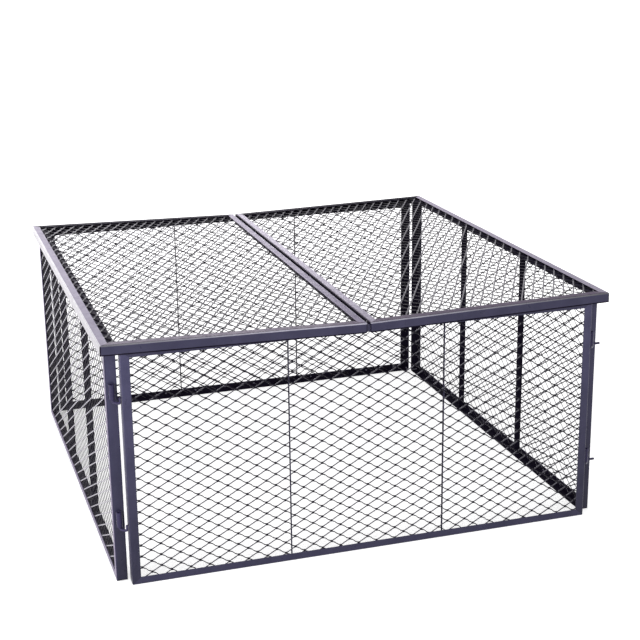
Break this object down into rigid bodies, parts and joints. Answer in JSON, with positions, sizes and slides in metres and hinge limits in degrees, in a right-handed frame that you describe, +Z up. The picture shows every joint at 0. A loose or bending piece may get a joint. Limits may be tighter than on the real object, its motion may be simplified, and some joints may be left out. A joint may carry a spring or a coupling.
{
  "type": "compost bin",
  "caption": "Low square compost bin of expanded steel mesh in angle-steel frames: hooked wall panels, open at the bottom, with two lift-off mesh lids that slope to the middle.",
  "frame": {"origin": "centre of the bin's footprint, on the ground under the walls", "axes": "+Z up; -Y towards the front wall; +X to the right seen from the front; the gap between the two lids runs along Y at X = 0"},
  "size_m": [1.2006, 1.2, 0.5639],
  "materials": {
    "frame_coat": "semi-gloss dark slate-purple powder coat on angle steel and flat bar",
    "mesh_coat": "dark grey powder coat on expanded steel mesh",
    "hinge_coat": "powder coat over tube and bent rod"
  },
  "bodies": {
    "walls": {"front_wall_left_stile": "frame_coat", "front_wall_top_rail": "frame_coat", "front_wall_right_stile": "frame_coat", "front_wall_bottom_rail": "frame_coat", "front_wall_mesh": "mesh_coat", "front_wall_bar_1": "frame_coat", "front_wall_bar_2": "frame_coat", "front_lower_barrel": "hinge_coat", "front_lower_pintle": "hinge_coat", "front_upper_barrel": "hinge_coat", "front_upper_pintle": "hinge_coat", "right_wall_left_stile": "frame_coat", "right_wall_top_rail": "frame_coat", "right_wall_right_stile": "frame_coat", "right_wall_bottom_rail": "frame_coat", "right_wall_mesh": "mesh_coat", "right_wall_bar_1": "frame_coat", "right_wall_bar_2": "frame_coat", "right_lower_barrel": "hinge_coat", "right_lower_pintle": "hinge_coat", "right_upper_barrel": "hinge_coat", "right_upper_pintle": "hinge_coat", "back_wall_left_stile": "frame_coat", "back_wall_top_rail": "frame_coat", "back_wall_right_stile": "frame_coat", "back_wall_bottom_rail": "frame_coat", "back_wall_mesh": "mesh_coat", "back_wall_bar_1": "frame_coat", "back_wall_bar_2": "frame_coat", "back_lower_barrel": "hinge_coat", "back_lower_pintle": "hinge_coat", "back_upper_barrel": "hinge_coat", "back_upper_pintle": "hinge_coat", "left_wall_left_stile": "frame_coat", "left_wall_top_rail": "frame_coat", "left_wall_right_stile": "frame_coat", "left_wall_bottom_rail": "frame_coat", "left_wall_mesh": "mesh_coat", "left_wall_bar_1": "frame_coat", "left_wall_bar_2": "frame_coat", "left_lower_barrel": "hinge_coat", "left_lower_pintle": "hinge_coat", "left_upper_barrel": "hinge_coat", "left_upper_pintle": "hinge_coat"},
    "left_lid": {"left_lid_middle_rail": "frame_coat", "left_lid_outer_rail": "frame_coat", "left_lid_front_rail": "frame_coat", "left_lid_back_rail": "frame_coat", "left_lid_mesh": "mesh_coat"},
    "right_lid": {"right_lid_middle_rail": "frame_coat", "right_lid_outer_rail": "frame_coat", "right_lid_front_rail": "frame_coat", "right_lid_back_rail": "frame_coat", "right_lid_mesh": "mesh_coat"}
  },
  "joints": [
    {"name": "left_lid_lift", "type": "slide", "parent": "walls", "child": "left_lid", "axis": [0, 0, 1], "range_m": [0, 0.25]},
    {"name": "right_lid_lift", "type": "slide", "parent": "walls", "child": "right_lid", "axis": [0, 0, 1], "range_m": [0, 0.25]}
  ]
}
